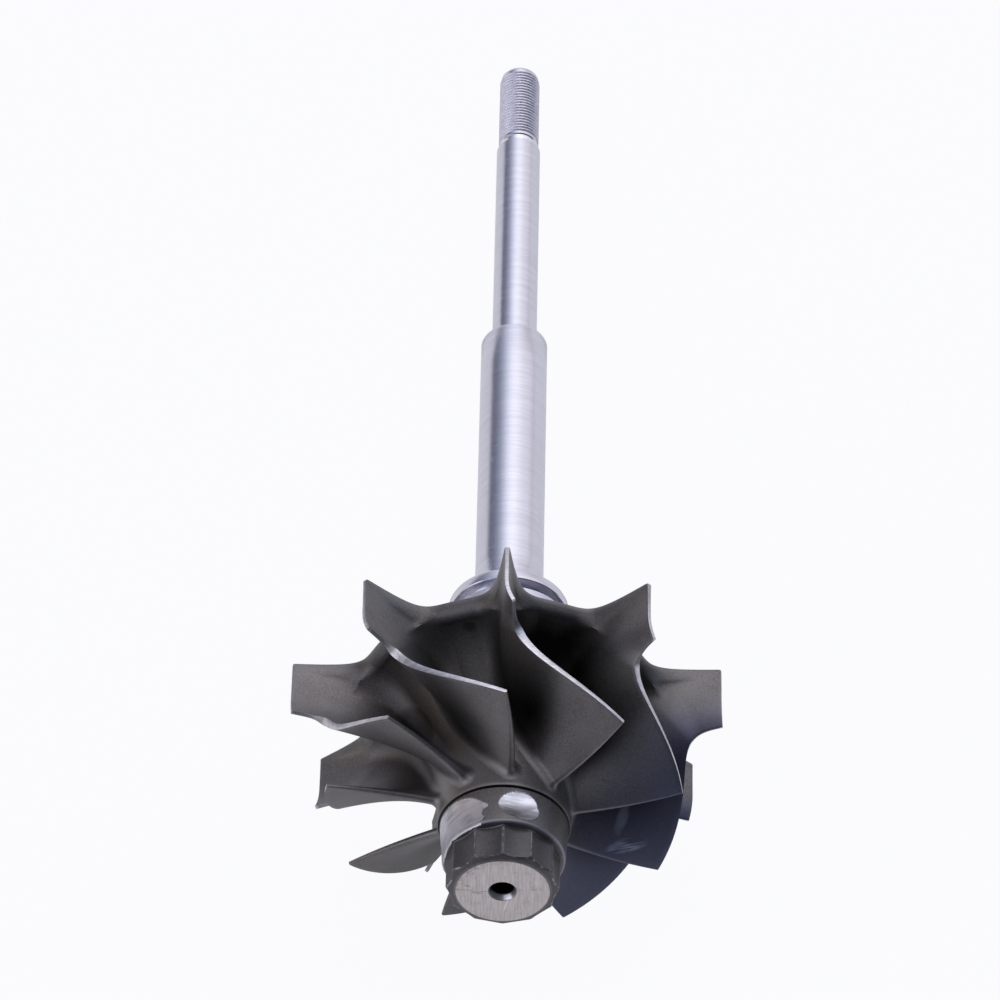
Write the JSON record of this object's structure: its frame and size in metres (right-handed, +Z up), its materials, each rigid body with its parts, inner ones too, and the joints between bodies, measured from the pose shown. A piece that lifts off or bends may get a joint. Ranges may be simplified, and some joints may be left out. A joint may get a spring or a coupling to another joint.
{
  "type": "turbine wheel",
  "caption": "Cast radial turbine wheel with scalloped back and drive nose, welded to a stepped ground shaft with a thread; the turning part of an exhaust turbocharger.",
  "frame": {"origin": "middle of the turned nose face, on the shaft's axis, in the mouth of the turning centre", "axes": "the shaft leaves the origin towards +Y and slopes down by 11.5 degrees, as the rotor lies on a bench on two blade tips and the thread's end; +Z is up and +X is to the right, seen from the nose with the shaft pointing away; the topmost blade stands straight up from the axis"},
  "size_m": [0.0493, 0.1313, 0.0489],
  "materials": {
    "cast_alloy": "matt blasted nickel-alloy casting with ground blade edges",
    "ground_steel": "fine circular grinding lines"
  },
  "bodies": {
    "root": {"turbine_wheel": "cast_alloy", "shaft": "ground_steel"}
  },
  "joints": []
}
